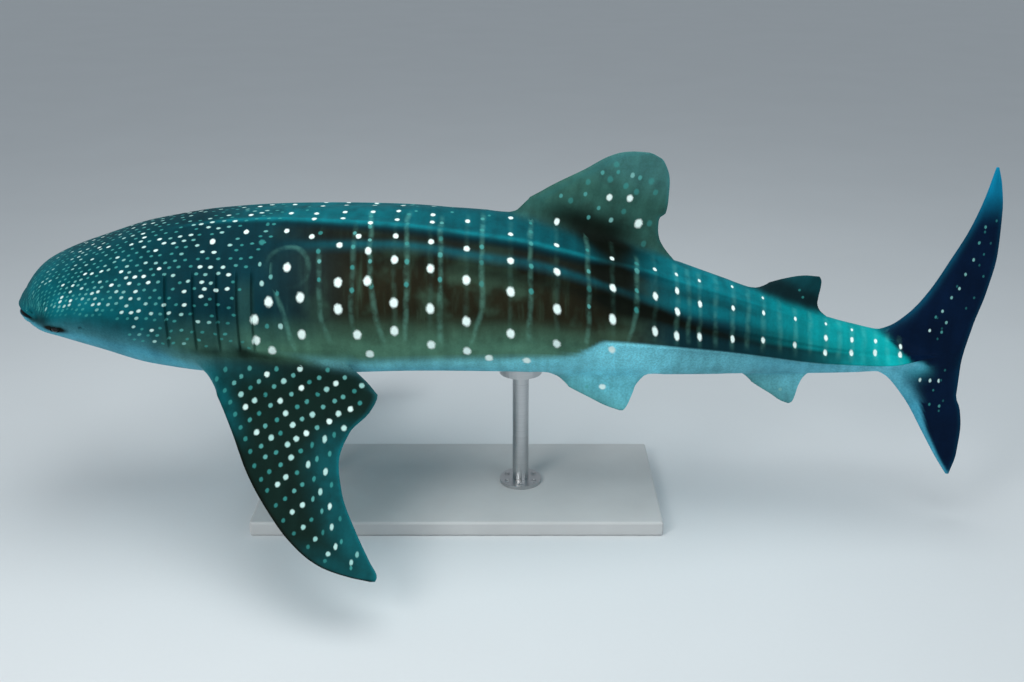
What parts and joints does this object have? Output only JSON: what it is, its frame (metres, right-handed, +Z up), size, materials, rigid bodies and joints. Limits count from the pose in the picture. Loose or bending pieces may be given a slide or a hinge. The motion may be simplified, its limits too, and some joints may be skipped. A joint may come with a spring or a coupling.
{
  "type": "whale shark display model",
  "caption": "Life-size whale shark in a swimming pose with spread pectoral fins and a swept tail, held over a flat base by short rods.",
  "frame": {"origin": "centre of the stand base's underside", "axes": "+X from the head to the tail, -Y the animal's left side, +Z up"},
  "size_m": [7.325, 4.0823, 2.8615],
  "materials": {
    "shark_skin": "wet-looking satin skin, dark blue-green with pale spots and thin bars",
    "pale_skin": "satin skin, pale grey-green to white",
    "eye": "glossy dark",
    "stand_steel": "brushed",
    "base_board": "painted pale grey, satin"
  },
  "bodies": {
    "root": {"head": "shark_skin", "lower_jaw": "pale_skin", "eye_left": "eye", "eye_right": "eye", "gill_region": "shark_skin", "trunk_front": "shark_skin", "trunk_rear": "shark_skin", "tail_stock": "shark_skin", "caudal_fin_upper_lobe": "shark_skin", "caudal_fin_lower_lobe": "shark_skin", "first_dorsal_fin": "shark_skin", "second_dorsal_fin": "shark_skin", "anal_fin": "pale_skin", "pectoral_fin_left": "shark_skin", "pectoral_fin_right": "shark_skin", "pelvic_fin_left": "pale_skin", "pelvic_fin_right": "pale_skin", "stand_base": "base_board", "stand_flange_front": "stand_steel", "stand_flange_rear": "stand_steel", "stand_rod_front": "stand_steel", "stand_rod_rear": "stand_steel", "stand_saddle_front": "stand_steel", "stand_saddle_rear": "stand_steel"}
  },
  "joints": []
}
